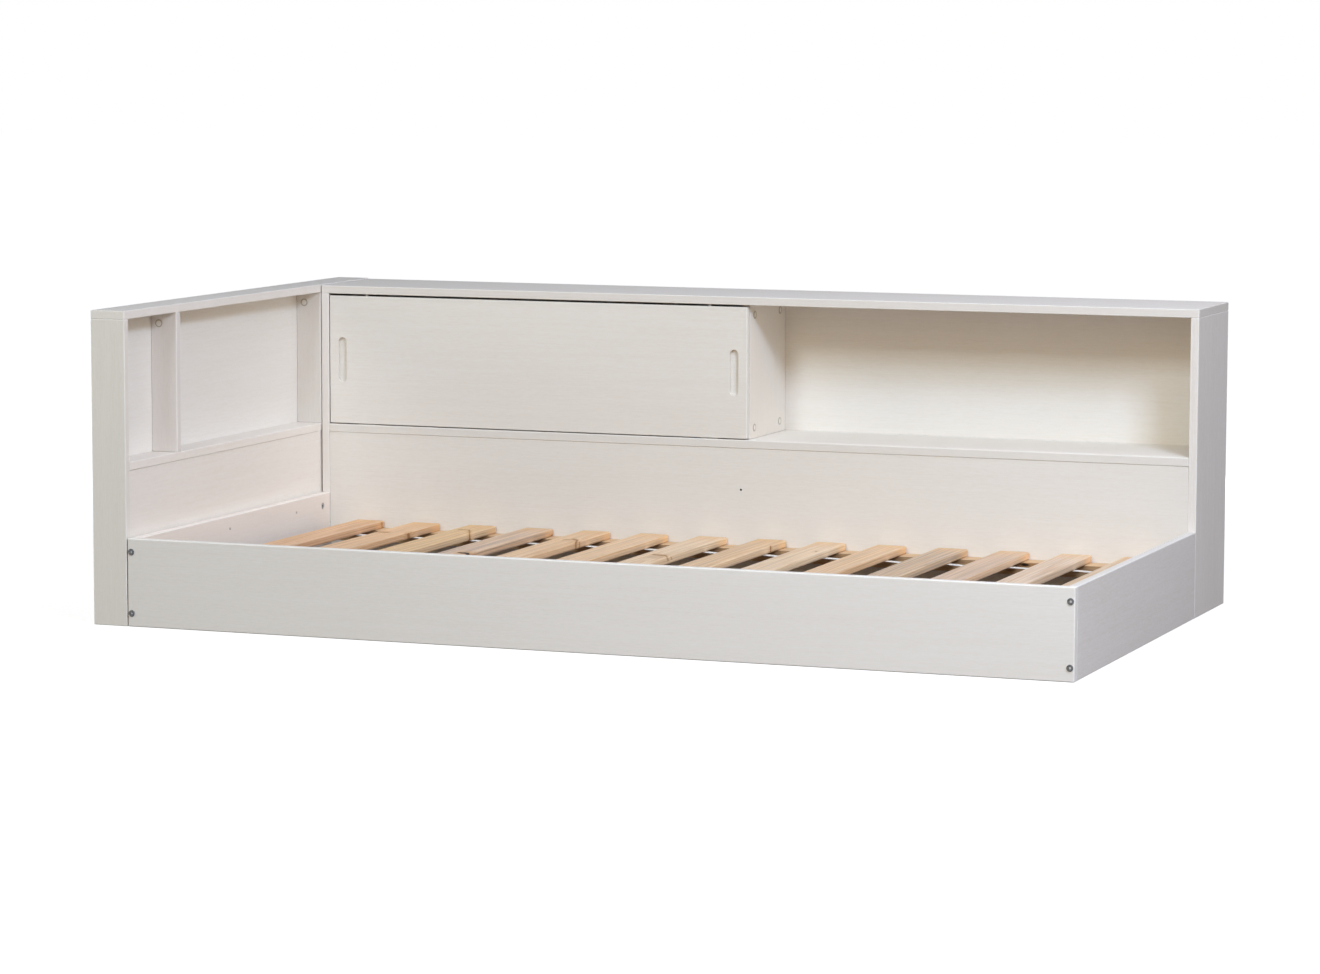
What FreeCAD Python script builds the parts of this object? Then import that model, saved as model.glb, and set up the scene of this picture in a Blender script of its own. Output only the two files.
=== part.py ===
"""Single bed with a shelf headboard and a shelf unit along its back, in millimetres.

+Z is up, +X runs from the head to the foot and +Y from the front rail to the back.
The origin is on the floor, at the middle of the footprint.
"""
import FreeCAD, Part
import os
import re

SLAT_COUNT = 14
LEDGER_SCREW_COUNT = 5
SHELF_NAIL_COUNT = 6
DIVIDER_NAIL_COUNT = 2
HEXAGON_SIDES = 6

# Driving dimensions
SIZES = {
    # boards
    "board": 18,
    "arris": 1.5,
    "rail_arris": 2.5,
    # bed box
    "bed_length": 2040,
    "frame_depth": 945,
    "rail_height": 185,
    "ledger_width": 50,
    "ledger_height": 27,
    "ledger_top": 109,
    "ledger_arris": 2,
    "ledger_inset": 30,
    "slat_width": 68,
    "slat_thickness": 17,
    "slat_arris": 4,
    "slat_inset": 70,
    "slat_end_gap": 3,
    "tape_width": 20,
    "tape_thickness": 1,
    "tape_inset": 125,
    "staple_length": 10,
    "staple_width": 1.6,
    "staple_thickness": 0.8,
    # bolts of the front rail
    "bolt_edge": 28,
    "bolt_diameter": 6,
    "bolt_length": 60,
    "bolt_head_diameter": 13.5,
    "bolt_head_height": 2.2,
    "bolt_head_chamfer": 0.5,
    "socket_width": 5,
    "socket_depth": 3,
    "nut_diameter": 10,
    "nut_length": 14,
    "nut_setback": 32,
    # cams, dowels, screws and nails
    "cam_diameter": 15,
    "cam_depth": 12.5,
    "cam_setback": 24,
    "rail_cam_setback": 37,
    "rail_cam_sink": 0.5,
    "cam_socket_width": 6,
    "cam_socket_depth": 6,
    "cap_diameter": 17,
    "cap_thickness": 1.2,
    "cap_rim": 2.5,
    "cap_recess": 0.4,
    "cap_arris": 0.4,
    "pin_diameter": 6,
    "pin_grip": 11,
    "dowel_diameter": 8,
    "dowel_face_depth": 12,
    "dowel_end_depth": 20,
    "dowel_inset": 40,
    "head_dowel_inset": 18,
    "panel_dowel_inset": 60,
    "screw_diameter": 4,
    "screw_head_diameter": 8,
    "screw_head_height": 2.5,
    "small_head_diameter": 5.5,
    "small_head_height": 1,
    "screw_grip": 12,
    "screw_end_inset": 120,
    "nail_diameter": 2,
    "nail_length": 24,
    "nail_head_diameter": 5,
    "nail_head_height": 1,
    "nail_end_inset": 150,
    "divider_nail_inset": 80,
    "clearance": 0.3,
    "bore_end_room": 1,
    # shelf unit
    "unit_depth": 260,
    "unit_height": 657,
    "shelf_height": 342,
    "back_thickness": 6,
    "lower_setback": 2,
    "divider_cam_front": 28,
    "divider_cam_back": 39,
    "spare_hole_diameter": 5,
    "spare_hole_depth": 12,
    "spare_hole_height": 232,
    "spare_hole_offset": 5,
    # sliding door
    "door_thickness": 16,
    "door_setback": 2,
    "door_side_gap": 2,
    "door_top_gap": 4.5,
    "door_bottom_gap": 2.5,
    "door_back_gap": 2,
    "door_overlap": 6,
    "pull_width": 20,
    "pull_length": 100,
    "pull_depth": 9,
    "pull_rim": 1.5,
    "pull_inset": 31,
    "lower_track_width": 6,
    "lower_track_depth": 5,
    "upper_track_width": 7,
    "upper_track_depth": 8,
    "glide_length": 40,
    "glide_width": 10,
    "glide_height": 12,
    "glide_inset": 90,
    "guide_diameter": 10,
    "guide_depth": 14,
    "guide_end_gap": 2,
    # shelf headboard
    "head_depth": 78,
    "head_gap": 2,
    "head_rise": 2,
    "head_shelf_rise": 1,
    "head_first_width": 216,
    "head_cam_inset": 19,
    "head_screw_front": 439,
    "head_screw_back": 175,
    "spacer_diameter": 20,
}

# Places and lengths that follow from the driving dimensions
PLACES = {
    "overall_length": "head_depth + head_gap + bed_length",
    "overall_depth": "bolt_head_height + frame_depth + unit_depth",
    "head_outer": "-overall_length / 2",
    "head_front": "head_outer + head_depth",
    "frame_left": "head_front + head_gap",
    "frame_right": "frame_left + bed_length",
    "inner_left": "frame_left + board",
    "inner_right": "frame_right - board",
    "inner_length": "inner_right - inner_left",
    "front": "bolt_head_height - overall_depth / 2",
    "rail_back": "front + board",
    "unit_front": "front + frame_depth",
    "back": "unit_front + unit_depth",
    "lower_front": "unit_front + lower_setback",
    "lower_mid": "lower_front + board / 2",
    "bolt_high": "rail_height - bolt_edge",
    "slat_gap": "(inner_length - 2 * slat_inset - slat_count * slat_width) / (slat_count - 1)",
    "slat_front": "rail_back + slat_end_gap",
    "slat_back": "lower_front - slat_end_gap",
    "slat_top": "ledger_top + slat_thickness",
    "unit_top_under": "unit_height - board",
    "shelf_under": "shelf_height - board",
    "back_face": "back - back_thickness",
    "door_front": "unit_front + door_setback",
    "door_back": "door_front + door_thickness",
    "door_mid": "door_front + door_thickness / 2",
    "door_left": "inner_left + door_side_gap",
    "door_width": "inner_length / 2 + door_overlap",
    "door_bottom": "shelf_height + door_bottom_gap",
    "door_height": "unit_top_under - door_top_gap - door_bottom",
    "divider_left": "inner_left + inner_length / 2 - board / 2",
    "divider_right": "divider_left + board",
    "divider_front": "door_back + door_back_gap",
    "head_back_face": "head_outer + board",
    "head_height": "unit_height + head_rise",
    "head_top_under": "head_height - board",
    "head_shelf_height": "shelf_height + head_shelf_rise",
    "head_shelf_under": "head_shelf_height - board",
    "head_lower_front": "head_front - lower_setback",
    "head_end_back": "back - board",
    "head_divider_front": "rail_back + head_first_width",
    "pin_reach": "cam_setback - cam_diameter / 2 - clearance",
    "rail_pin_reach": "rail_cam_setback - cam_diameter / 2 - clearance",
    "dowel_length": "dowel_face_depth + dowel_end_depth",
}

AXIS_ROTATIONS = {
    "x": FreeCAD.Rotation(FreeCAD.Vector(0, 1, 0), 90),
    "y": FreeCAD.Rotation(FreeCAD.Vector(1, 0, 0), -90),
    "z": FreeCAD.Rotation(),
}

doc = FreeCAD.newDocument("SingleBed")
nodes = {}
corners = {}


def add_sheet(name, cells):
    """Adds a sheet with one named cell in each row."""
    sheet = doc.addObject("Spreadsheet::Sheet", name)
    for row, (alias, content) in enumerate(cells.items(), start=1):
        sheet.set(f"A{row}", alias)
        sheet.set(f"B{row}", str(content))
        sheet.setAlias(f"B{row}", alias)
    return sheet


def qualified(formula):
    """Writes each name in a formula with the sheet that holds it."""
    def with_sheet(match):
        word = match.group()
        if word in SIZES:
            return f"Sizes.{word}"
        if word in PLACES:
            return f"Places.{word}"
        return word
    return re.sub(r"[a-z_]+", with_sheet, formula)


def bind(thing, **formulas):
    """Binds properties of an object to formulas of the sheets."""
    for name, formula in formulas.items():
        thing.setExpression(name, qualified(formula))


def place(thing, at, axis="z"):
    """Puts an object's origin at a point given by three formulas, with its own Z along an axis."""
    thing.Placement = FreeCAD.Placement(FreeCAD.Vector(), AXIS_ROTATIONS[axis])
    for letter, formula in zip("xyz", at):
        thing.setExpression(f"Placement.Base.{letter}", qualified(formula))


def keep(thing, label):
    """Lists an object as a sub-part of the bed under its own name."""
    thing.Label = label
    nodes[label] = thing
    return thing


def body_at(label, corner):
    """Starts a body whose own origin lies at a corner of the piece."""
    body = doc.addObject("PartDesign::Body", label)
    place(body, corner)
    corners[body.Name] = corner
    return body


def local(body, at):
    """Rewrites a point of the bed's frame in a body's own frame."""
    return [f"({point}) - ({corner})" for point, corner in zip(at, corners[body.Name])]


def add_box(body, at, size, cut=False):
    """Adds a box to a body, or cuts it away."""
    kind = "PartDesign::SubtractiveBox" if cut else "PartDesign::AdditiveBox"
    box = body.newObject(kind, "Box")
    bind(box, Length=size[0], Width=size[1], Height=size[2])
    place(box, local(body, at))
    return box


def add_cylinder(body, axis, at, diameter, length, cut=False):
    """Adds a cylinder to a body, or cuts it away."""
    kind = "PartDesign::SubtractiveCylinder" if cut else "PartDesign::AdditiveCylinder"
    cylinder = body.newObject(kind, "Cylinder")
    bind(cylinder, Radius=f"({diameter}) / 2", Height=length)
    place(cylinder, local(body, at), axis)
    return cylinder


def round_edges(body, radius):
    """Rounds every edge that a body has so far."""
    doc.recompute()
    base = body.Tip
    fillet = body.newObject("PartDesign::Fillet", "Rounding")
    fillet.Base = (base, [""])
    fillet.UseAllEdges = True
    bind(fillet, Radius=radius)


def board(label, corner, size, arris="arris"):
    """Makes a board from its lowest corner and its three sizes, with rounded edges."""
    body = body_at(label, corner)
    add_box(body, corner, size)
    if arris:
        round_edges(body, arris)
    return keep(body, label)


def drill(labels, axis, at, diameter, length):
    """Bores the same hole into each of the named boards."""
    for label in labels:
        add_cylinder(nodes[label], axis, at, diameter, length, cut=True)


def rod(axis, at, diameter, length):
    """Makes a plain round rod."""
    cylinder = doc.addObject("Part::Cylinder", "Rod")
    bind(cylinder, Radius=f"({diameter}) / 2", Height=length)
    place(cylinder, at, axis)
    return cylinder


def group(label, members):
    """Keeps identical fasteners as one sub-part of separate solids."""
    compound = doc.addObject("Part::Compound", label)
    compound.Links = members
    return keep(compound, label)


def bed_box():
    """The three rails, the ledgers, the slats and their tapes."""
    rail_depth = "frame_depth - board"
    board("front_rail", ("frame_left", "front", "0"), ("bed_length", "board", "rail_height"), "rail_arris")
    cross_size = ("board", rail_depth, "rail_height")
    board("head_rail", ("frame_left", "rail_back", "0"), cross_size, "rail_arris")
    board("foot_rail", ("inner_right", "rail_back", "0"), cross_size, "rail_arris")

    ledger_size = ("inner_length - 2 * ledger_inset", "ledger_width", "ledger_height")
    ledger_left = "inner_left + ledger_inset"
    ledger_under = "ledger_top - ledger_height"
    front_corner = (ledger_left, "rail_back", ledger_under)
    board("front_ledger", front_corner, ledger_size, "ledger_arris")
    back_corner = (ledger_left, "lower_front - ledger_width", ledger_under)
    board("back_ledger", back_corner, ledger_size, "ledger_arris")

    slat_size = ("slat_width", "slat_back - slat_front", "slat_thickness")
    slat_lefts = []
    for index in range(SLAT_COUNT):
        slat_left = f"inner_left + slat_inset + {index} * (slat_width + slat_gap)"
        slat_lefts.append(slat_left)
        board(f"slat_{index + 1:02d}", (slat_left, "slat_front", "ledger_top"), slat_size, "slat_arris")

    tape_left = slat_lefts[0]
    tape_size = ("inner_length - 2 * slat_inset", "tape_width", "tape_thickness")
    tape_under = "ledger_top - tape_thickness"
    tape_fronts = {
        "front_slat_tape": "slat_front + tape_inset",
        "back_slat_tape": "slat_back - tape_inset - tape_width",
    }
    staples = []
    for label, tape_front in tape_fronts.items():
        board(label, (tape_left, tape_front, tape_under), tape_size, arris=None)
        for slat_left in slat_lefts:
            staple = doc.addObject("Part::Box", "Staple")
            bind(staple, Length="staple_length", Width="staple_width", Height="staple_thickness")
            place(staple, (
                f"{slat_left} + slat_width / 2 - staple_length / 2",
                f"{tape_front} + tape_width / 2 - staple_width / 2",
                f"{tape_under} - staple_thickness",
            ))
            staples.append(staple)
    group("tape_staples", staples)


def shelf_unit():
    """The boards of the shelf unit along the back, with the door's two tracks."""
    panel_size = ("board", "unit_depth", "unit_top_under")
    board("unit_left_panel", ("frame_left", "unit_front", "0"), panel_size)
    board("unit_right_panel", ("inner_right", "unit_front", "0"), panel_size)
    board("unit_top", ("frame_left", "unit_front", "unit_top_under"), ("bed_length", "unit_depth", "board"))
    shelf_depth = "unit_depth - back_thickness"
    board("unit_shelf", ("inner_left", "unit_front", "shelf_under"), ("inner_length", shelf_depth, "board"))
    divider_size = ("board", "back_face - divider_front", "unit_top_under - shelf_height")
    board("unit_divider", ("divider_left", "divider_front", "shelf_height"), divider_size)
    board("unit_lower_panel", ("inner_left", "lower_front", "0"), ("inner_length", "board", "shelf_under"))
    back_size = ("inner_length", "back_thickness", "unit_top_under - shelf_under")
    board("unit_back_panel", ("inner_left", "back_face", "shelf_under"), back_size, arris=None)

    upper_corner = ("inner_left", "door_mid - upper_track_width / 2", "unit_top_under")
    upper_size = ("inner_length", "upper_track_width", "upper_track_depth")
    add_box(nodes["unit_top"], upper_corner, upper_size, cut=True)
    lower_floor = "shelf_height - lower_track_depth"
    lower_corner = ("inner_left", "door_mid - lower_track_width / 2", lower_floor)
    lower_size = ("inner_length", "lower_track_width", "lower_track_depth")
    add_box(nodes["unit_shelf"], lower_corner, lower_size, cut=True)

    hole_at = ("inner_left + inner_length / 2 - spare_hole_offset", "lower_front", "spare_hole_height")
    drill(["unit_lower_panel"], "y", hole_at, "spare_hole_diameter", "spare_hole_depth")


def sliding_door():
    """The door with its finger pulls, the glides under it and the guides above it."""
    door = board(
        "sliding_door",
        ("door_left", "door_front", "door_bottom"),
        ("door_width", "door_thickness", "door_height"),
    )
    right_end = "door_left + door_width"
    pull_low = "door_bottom + door_height / 2 - pull_length / 2"
    straight = "pull_length - pull_width"
    for middle in ("door_left + pull_inset", f"{right_end} - pull_inset"):
        slot_corner = (f"{middle} - pull_width / 2", "door_front", f"{pull_low} + pull_width / 2")
        add_box(door, slot_corner, ("pull_width", "pull_depth", straight), cut=True)
        for end_height in (f"{pull_low} + pull_width / 2", f"{pull_low} + pull_length - pull_width / 2"):
            add_cylinder(door, "y", (middle, "door_front", end_height), "pull_width", "pull_depth", cut=True)
    round_pull_rims(door)

    middles = {"left": "door_left + glide_inset", "right": f"{right_end} - glide_inset"}
    for side, middle in middles.items():
        door_glide(door, f"door_{side}_glide", middle)
        door_guide(door, f"door_{side}_guide", middle)


def round_pull_rims(door):
    """Rounds the rims of the finger pulls in the door's front face."""
    doc.recompute()
    base = door.Tip
    front_face = min(base.Shape.Faces, key=lambda face: face.CenterOfMass.y)
    rims = [wire for wire in front_face.Wires if not wire.isSame(front_face.OuterWire)]
    rim_edges = [edge for wire in rims for edge in wire.Edges]
    names = []
    for number, edge in enumerate(base.Shape.Edges, start=1):
        if any(edge.isSame(rim_edge) for rim_edge in rim_edges):
            names.append(f"Edge{number}")
    fillet = door.newObject("PartDesign::Fillet", "PullRims")
    fillet.Base = (base, names)
    bind(fillet, Radius="pull_rim")


def door_glide(door, label, middle):
    """A block in the door's lower edge whose tongue stands on the floor of the lower track."""
    block_corner = (f"{middle} - glide_length / 2", "door_mid - glide_width / 2", "door_bottom")
    socket_corner = (
        f"{block_corner[0]} - clearance",
        f"{block_corner[1]} - clearance",
        "door_bottom",
    )
    socket_size = ("glide_length + 2 * clearance", "glide_width + 2 * clearance", "glide_height")
    add_box(door, socket_corner, socket_size, cut=True)
    glide = body_at(label, block_corner)
    add_box(glide, block_corner, ("glide_length", "glide_width", "glide_height"))
    tongue_width = "lower_track_width - 2 * clearance"
    tongue_height = "door_bottom_gap + lower_track_depth"
    tongue_corner = (block_corner[0], f"door_mid - ({tongue_width}) / 2", f"door_bottom - ({tongue_height})")
    add_box(glide, tongue_corner, ("glide_length", tongue_width, tongue_height))
    keep(glide, label)


def door_guide(door, label, middle):
    """A bushing in the door's upper edge whose pin runs in the upper track."""
    door_top = "door_bottom + door_height"
    bushing_at = (middle, "door_mid", f"{door_top} - guide_depth")
    add_cylinder(door, "z", bushing_at, "guide_diameter + 2 * clearance", "guide_depth", cut=True)
    guide = body_at(label, bushing_at)
    add_cylinder(guide, "z", bushing_at, "guide_diameter", "guide_depth")
    pin_height = "door_top_gap + upper_track_depth - guide_end_gap"
    add_cylinder(guide, "z", (middle, "door_mid", door_top), "upper_track_width - 2 * clearance", pin_height)
    keep(guide, label)


def shelf_headboard():
    """The boards of the shallow shelf unit at the head."""
    end_size = ("head_depth", "board", "head_top_under")
    board("head_front_end", ("head_outer", "front", "0"), end_size)
    board("head_back_end", ("head_outer", "head_end_back", "0"), end_size)
    top_size = ("head_depth", "back - front", "board")
    board("head_top", ("head_outer", "front", "head_top_under"), top_size)
    between_ends = "head_end_back - rail_back"
    back_size = ("board", between_ends, "head_top_under")
    board("head_back_panel", ("head_outer", "rail_back", "0"), back_size)
    inner_depth = "head_front - head_back_face"
    shelf_size = (inner_depth, between_ends, "board")
    board("head_shelf", ("head_back_face", "rail_back", "head_shelf_under"), shelf_size)
    lower_corner = ("head_lower_front - board", "rail_back", "0")
    board("head_lower_panel", lower_corner, ("board", between_ends, "head_shelf_under"))
    upright_size = (inner_depth, "board", "head_top_under - head_shelf_height")
    board("head_divider", ("head_back_face", "head_divider_front", "head_shelf_height"), upright_size)
    board("head_upright", ("head_back_face", "unit_front", "head_shelf_height"), upright_size)


def rail_bolts():
    """Bolts through the front rail into barrel nuts in the head and foot rails."""
    bore = "bolt_diameter + 2 * clearance"
    nut_middle = "rail_back + nut_setback"
    nut_bore = "nut_diameter + 2 * clearance"
    bolts = []
    nuts = []
    ends = {"head_rail": "frame_left + board / 2", "foot_rail": "inner_right + board / 2"}
    for rail, middle in ends.items():
        nut_left = f"{middle} - nut_length / 2"
        for height in ("bolt_edge", "bolt_high"):
            bolts.append(rail_bolt((middle, "front", height)))
            bore_length = "bolt_length + bore_end_room"
            drill(["front_rail", rail], "y", (middle, "front", height), bore, bore_length)
            nuts.append(barrel_nut((nut_left, nut_middle, height), bore))
            # each nut goes in from the inner face of its rail
            mouth = nut_left if rail == "head_rail" else "inner_right"
            mouth_length = "board / 2 + nut_length / 2"
            drill([rail], "x", (mouth, nut_middle, height), nut_bore, mouth_length)
    group("rail_bolts", bolts)
    group("barrel_nuts", nuts)


def rail_bolt(seat):
    """A bolt along +Y whose flat head lies on the rail and has a hexagon socket."""
    bolt = body_at("rail_bolt", seat)
    head_face = f"{seat[1]} - bolt_head_height"
    head = add_cylinder(bolt, "y", (seat[0], head_face, seat[2]), "bolt_head_diameter", "bolt_head_height")
    doc.recompute()
    rim = min(range(len(head.Shape.Edges)), key=lambda index: head.Shape.Edges[index].CenterOfMass.y)
    chamfer = bolt.newObject("PartDesign::Chamfer", "Rim")
    chamfer.Base = (head, [f"Edge{rim + 1}"])
    bind(chamfer, Size="bolt_head_chamfer")
    add_cylinder(bolt, "y", seat, "bolt_diameter", "bolt_length")
    socket = bolt.newObject("PartDesign::SubtractivePrism", "Socket")
    socket.Polygon = HEXAGON_SIDES
    bind(socket, Circumradius="socket_width / sqrt(3)", Height="socket_depth")
    place(socket, local(bolt, (seat[0], head_face, seat[2])), "y")
    return bolt


def barrel_nut(at, bore):
    """A cross dowel along +X with a hole for the bolt."""
    nut = body_at("barrel_nut", at)
    add_cylinder(nut, "x", at, "nut_diameter", "nut_length")
    hole_at = (f"{at[0]} + nut_length / 2", f"{at[1]} - nut_diameter", at[2])
    add_cylinder(nut, "y", hole_at, bore, "2 * nut_diameter", cut=True)
    return nut


def rail_cams():
    """Cam connectors that pull the head and foot rails against the shelf unit."""
    bore = "pin_diameter + 2 * clearance"
    middle = "unit_front - rail_cam_setback"
    cam_bore = "cam_diameter + 2 * clearance"
    cam_bore_depth = "cam_depth + rail_cam_sink"
    corners_of_box = (
        ("head_rail", "unit_left_panel", "frame_left + board / 2"),
        ("foot_rail", "unit_right_panel", "inner_right + board / 2"),
    )
    cams = []
    pins = []
    for rail, panel, board_middle in corners_of_box:
        if rail == "head_rail":
            bore_left = f"inner_left - ({cam_bore_depth})"
            cam_left = bore_left
            socket_left = f"{cam_left} + cam_depth - cam_socket_depth"
        else:
            bore_left = "inner_right"
            cam_left = "inner_right + rail_cam_sink"
            socket_left = cam_left
        for height in ("bolt_edge", "bolt_high"):
            drill([rail], "x", (bore_left, middle, height), cam_bore, cam_bore_depth)
            cams.append(socket_cam((cam_left, middle, height), socket_left))
            pin_at = (board_middle, "unit_front - rail_pin_reach", height)
            pins.append(rod("y", pin_at, "pin_diameter", "rail_pin_reach + dowel_end_depth"))
            bore_length = "rail_pin_reach + dowel_end_depth + bore_end_room"
            drill([rail, panel], "y", pin_at, bore, bore_length)
    group("rail_cams", cams)
    group("rail_cam_pins", pins)


def socket_cam(at, socket_left):
    """A cam along +X with a hexagon socket in the face that shows."""
    cam = body_at("rail_cam", at)
    add_cylinder(cam, "x", at, "cam_diameter", "cam_depth")
    socket = cam.newObject("PartDesign::SubtractivePrism", "Socket")
    socket.Polygon = HEXAGON_SIDES
    bind(socket, Circumradius="cam_socket_width / sqrt(3)", Height="cam_socket_depth")
    place(socket, local(cam, (socket_left, at[1], at[2])), "x")
    return cam


def capped_cam(axis, seat, outwards, cams, caps):
    """A cam sunk in a board, and a cover cap on the board's face at the seat."""
    index = "xyz".index(axis)
    cam_start = list(seat)
    cap_start = list(seat)
    recess_start = list(seat)
    if outwards > 0:
        cam_start[index] = f"{seat[index]} - cam_depth"
        recess_start[index] = f"{seat[index]} + cap_thickness - cap_recess"
    else:
        cap_start[index] = f"{seat[index]} - cap_thickness"
        recess_start[index] = cap_start[index]
    cams.append(rod(axis, cam_start, "cam_diameter", "cam_depth"))
    cap = body_at("cap", cap_start)
    disc = add_cylinder(cap, axis, cap_start, "cap_diameter", "cap_thickness")
    round_rim(cap, disc, index, outwards)
    add_cylinder(cap, axis, recess_start, "cap_diameter - 2 * cap_rim", "cap_recess", cut=True)
    caps.append(cap)


def round_rim(cap, disc, index, outwards):
    """Rounds the outer rim of a cap's disc."""
    doc.recompute()
    edges = disc.Shape.Edges
    rim = max(range(len(edges)), key=lambda number: outwards * edges[number].CenterOfMass[index])
    fillet = cap.newObject("PartDesign::Fillet", "Rim")
    fillet.Base = (disc, [f"Edge{rim + 1}"])
    bind(fillet, Radius="cap_arris")


def divider_cams():
    """Cams in the right face of the divider, which hold the top and the shelf."""
    bore = "pin_diameter + 2 * clearance"
    cams = []
    caps = []
    pins = []
    for depth in ("divider_front + divider_cam_front", "back_face - divider_cam_back"):
        for height in ("unit_top_under - cam_setback", "shelf_height + cam_setback"):
            capped_cam("x", ("divider_right", depth, height), 1, cams, caps)
            bore_depth = "cam_depth + clearance"
            bore_at = (f"divider_right - ({bore_depth})", depth, height)
            drill(["unit_divider"], "x", bore_at, "cam_diameter + 2 * clearance", bore_depth)
        middle = "divider_left + board / 2"
        upper_at = (middle, depth, "unit_top_under - pin_reach")
        pins.append(rod("z", upper_at, "pin_diameter", "pin_reach + pin_grip"))
        bore_length = "pin_reach + pin_grip + bore_end_room"
        drill(["unit_divider", "unit_top"], "z", upper_at, bore, bore_length)
        lower_at = (middle, depth, "shelf_height - pin_grip")
        pins.append(rod("z", lower_at, "pin_diameter", "pin_reach + pin_grip"))
        lower_bore_at = (middle, depth, "shelf_height - pin_grip - bore_end_room")
        drill(["unit_divider", "unit_shelf"], "z", lower_bore_at, bore, bore_length)
    group("divider_cams", cams)
    group("divider_caps", caps)
    group("divider_cam_pins", pins)


def head_cams():
    """Cams in the front faces of the headboard's divider and upright, which hold its top."""
    bore = "pin_diameter + 2 * clearance"
    bore_depth = "cam_depth + clearance"
    across = "head_back_face + head_cam_inset"
    height = "head_top_under - cam_setback"
    cams = []
    caps = []
    pins = []
    for label, face in (("head_divider", "head_divider_front"), ("head_upright", "unit_front")):
        capped_cam("y", (across, face, height), -1, cams, caps)
        drill([label], "y", (across, face, height), "cam_diameter + 2 * clearance", bore_depth)
        pin_at = (across, f"{face} + board / 2", "head_top_under - pin_reach")
        pins.append(rod("z", pin_at, "pin_diameter", "pin_reach + pin_grip"))
        bore_length = "pin_reach + pin_grip + bore_end_room"
        drill([label, "head_top"], "z", pin_at, bore, bore_length)
    group("head_cams", cams)
    group("head_caps", caps)
    group("head_cam_pins", pins)


def dowel(labels, axis, at, face_first):
    """A dowel from the face of one board into the end of another, with its bores.

    The point lies where the two boards meet. The face bore comes first along the axis, or last.
    """
    index = "xyz".index(axis)
    before = "dowel_face_depth" if face_first else "dowel_end_depth"
    start = list(at)
    start[index] = f"{at[index]} - {before}"
    bore_start = list(start)
    bore_start[index] = f"{start[index]} - bore_end_room"
    bore_length = "dowel_length + 2 * bore_end_room"
    drill(labels, axis, bore_start, "dowel_diameter + 2 * clearance", bore_length)
    return rod(axis, start, "dowel_diameter", "dowel_length")


def unit_dowels():
    """Dowels of the shelf unit."""
    dowels = []
    depths = ("unit_front + dowel_inset", "back_face - dowel_inset")
    low_and_high = ("panel_dowel_inset", "shelf_under - panel_dowel_inset")
    panels = (
        ("unit_left_panel", "frame_left + board / 2", "inner_left", True),
        ("unit_right_panel", "inner_right + board / 2", "inner_right", False),
    )
    for panel, middle, inner_face, face_first in panels:
        for depth in depths:
            dowels.append(dowel([panel, "unit_top"], "z", (middle, depth, "unit_top_under"), False))
            shelf_at = (inner_face, depth, "shelf_under + board / 2")
            dowels.append(dowel([panel, "unit_shelf"], "x", shelf_at, face_first))
        for height in low_and_high:
            lower_at = (inner_face, "lower_mid", height)
            dowels.append(dowel([panel, "unit_lower_panel"], "x", lower_at, face_first))
    group("unit_dowels", dowels)


def head_dowels():
    """Dowels of the shelf headboard."""
    dowels = []
    ends = (
        ("head_front_end", "front + board / 2", "rail_back", True),
        ("head_back_end", "head_end_back + board / 2", "head_end_back", False),
    )
    across = ("head_back_face + head_dowel_inset", "head_front - head_dowel_inset")
    lower_middle = "head_lower_front - board / 2"
    back_middle = "head_outer + board / 2"
    for end, middle, inner_face, face_first in ends:
        for along in across:
            dowels.append(dowel([end, "head_top"], "z", (along, middle, "head_top_under"), False))
            shelf_at = (along, inner_face, "head_shelf_under + board / 2")
            dowels.append(dowel([end, "head_shelf"], "y", shelf_at, face_first))
        for height in ("panel_dowel_inset", "head_shelf_under - panel_dowel_inset"):
            lower_at = (lower_middle, inner_face, height)
            dowels.append(dowel([end, "head_lower_panel"], "y", lower_at, face_first))
        for height in ("panel_dowel_inset", "head_top_under - panel_dowel_inset"):
            back_at = (back_middle, inner_face, height)
            dowels.append(dowel([end, "head_back_panel"], "y", back_at, face_first))
    for label, face in (("head_divider", "head_divider_front"), ("head_upright", "unit_front")):
        foot_at = ("(head_back_face + head_front) / 2", f"{face} + board / 2", "head_shelf_height")
        dowels.append(dowel([label, "head_shelf"], "z", foot_at, True))
    group("head_dowels", dowels)


def pan_screw(axis, seat, turned, grip, head=("screw_head_diameter", "screw_head_height")):
    """A screw whose round head lies on a face at the seat. It runs along the axis, or against it."""
    head_diameter, head_height = head
    screw = body_at("screw", seat)
    index = "xyz".index(axis)
    head_start = list(seat)
    shank_start = list(seat)
    if turned:
        shank_start[index] = f"{seat[index]} - ({grip})"
    else:
        head_start[index] = f"{seat[index]} - {head_height}"
    add_cylinder(screw, axis, head_start, head_diameter, head_height)
    add_cylinder(screw, axis, shank_start, "screw_diameter", grip)
    return screw


def ledger_screws():
    """Screws that hold the ledgers to the front rail and to the lower panel."""
    bore = "screw_diameter + 2 * clearance"
    grip = "ledger_width + screw_grip"
    bore_length = f"{grip} + bore_end_room"
    height = "ledger_top - ledger_height / 2"
    screws = []
    for index in range(LEDGER_SCREW_COUNT):
        share = f"{index} / {LEDGER_SCREW_COUNT - 1}"
        along = f"inner_left + screw_end_inset + {share} * (inner_length - 2 * screw_end_inset)"
        front_seat = (along, "rail_back + ledger_width", height)
        screws.append(pan_screw("y", front_seat, True, grip))
        bore_at = (along, "rail_back - screw_grip - bore_end_room", height)
        drill(["front_rail", "front_ledger"], "y", bore_at, bore, bore_length)
        back_seat = (along, "lower_front - ledger_width", height)
        screws.append(pan_screw("y", back_seat, False, grip))
        drill(["back_ledger", "unit_lower_panel"], "y", back_seat, bore, bore_length)
    group("ledger_screws", screws)


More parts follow.
